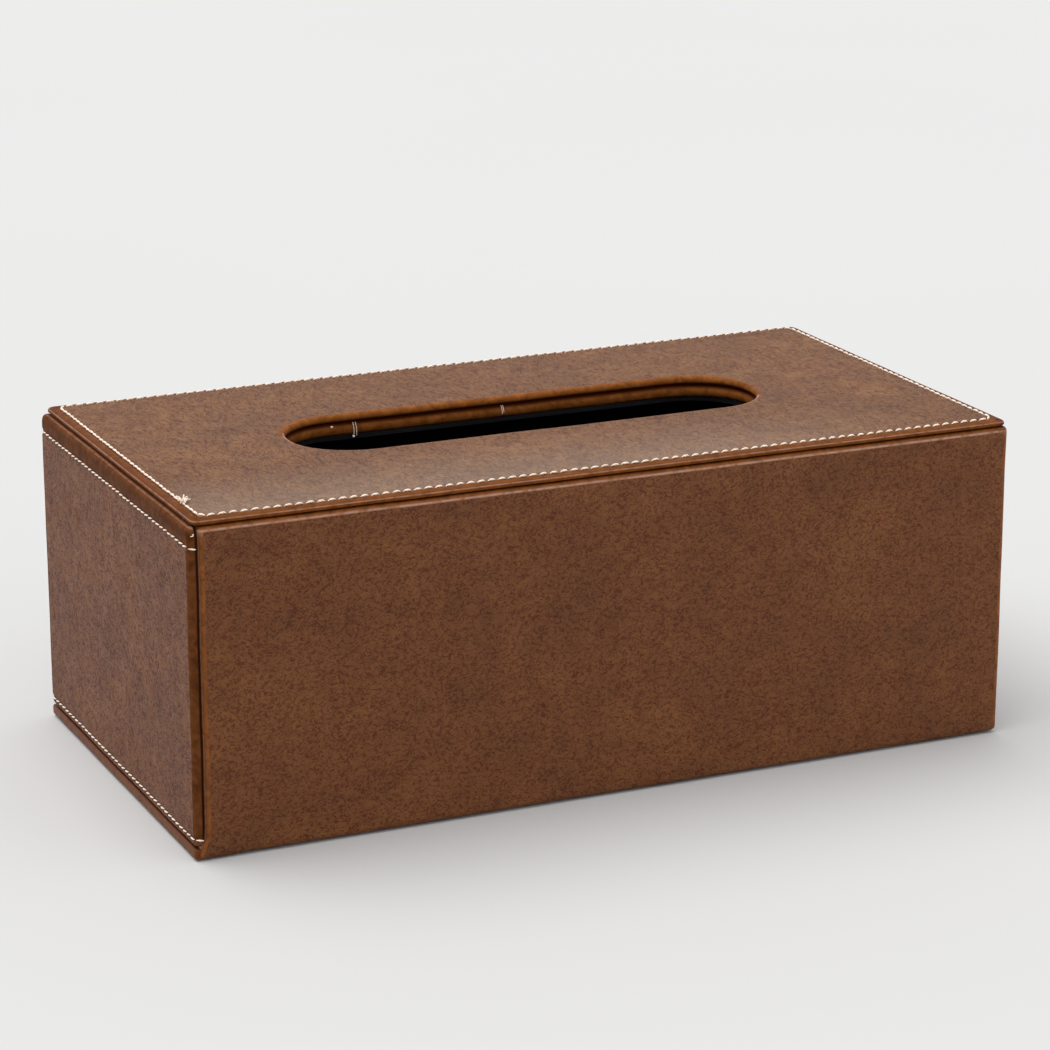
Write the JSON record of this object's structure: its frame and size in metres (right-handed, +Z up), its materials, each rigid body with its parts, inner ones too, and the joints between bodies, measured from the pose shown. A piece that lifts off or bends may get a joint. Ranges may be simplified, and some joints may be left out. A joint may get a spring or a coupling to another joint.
{
  "type": "tissue box with drawer",
  "caption": "Rectangular leatherette-covered tissue box with a round-ended slot in its stitched top and a tray that slides out of one end.",
  "frame": {"origin": "middle of the underside, on the face that the box rests on", "axes": "+X along the length towards the fixed end (the drawer opens towards -X), +Y from the front wall to the back wall, +Z up"},
  "size_m": [0.2501, 0.1304, 0.0957],
  "materials": {
    "brown_leatherette": "semi-matte pebbled grain, mottled brown",
    "mdf": "raw fibreboard",
    "black_card": "matt black",
    "black_lining": "short-pile flocked lining",
    "black_cover": "matt black leatherette",
    "black_felt": "pressed felt",
    "cream_thread": "waxed polyester thread"
  },
  "bodies": {
    "sleeve": {"base_leather": "brown_leatherette", "front_leather": "brown_leatherette", "back_leather": "brown_leatherette", "end_leather": "brown_leatherette", "inner_top_leather": "brown_leatherette", "lid_leather": "brown_leatherette", "base_board": "mdf", "front_board": "mdf", "back_board": "mdf", "end_board": "mdf", "inner_top_board": "mdf", "lid_backing": "black_card", "lid_board": "black_card", "floor_lining": "black_lining", "front_lining": "black_lining", "back_lining": "black_lining", "end_lining": "black_lining", "inner_top_lining": "black_lining", "underside_felt": "black_felt", "lid_stitching": "cream_thread"},
    "drawer": {"drawer_front_leather": "brown_leatherette", "drawer_front_board": "mdf", "tray_floor_board": "mdf", "tray_front_board": "mdf", "tray_back_board": "mdf", "tray_near_side_board": "mdf", "tray_far_side_board": "mdf", "drawer_front_backing": "black_lining", "tray_floor_lining": "black_lining", "tray_wall_lining": "black_lining", "tray_cover": "black_cover", "drawer_front_upper_stitching": "cream_thread", "drawer_front_lower_stitching": "cream_thread"}
  },
  "joints": [
    {"name": "drawer_slide", "type": "slide", "parent": "sleeve", "child": "drawer", "axis": [-1, 0, 0], "range_m": [0, 0.19]}
  ]
}
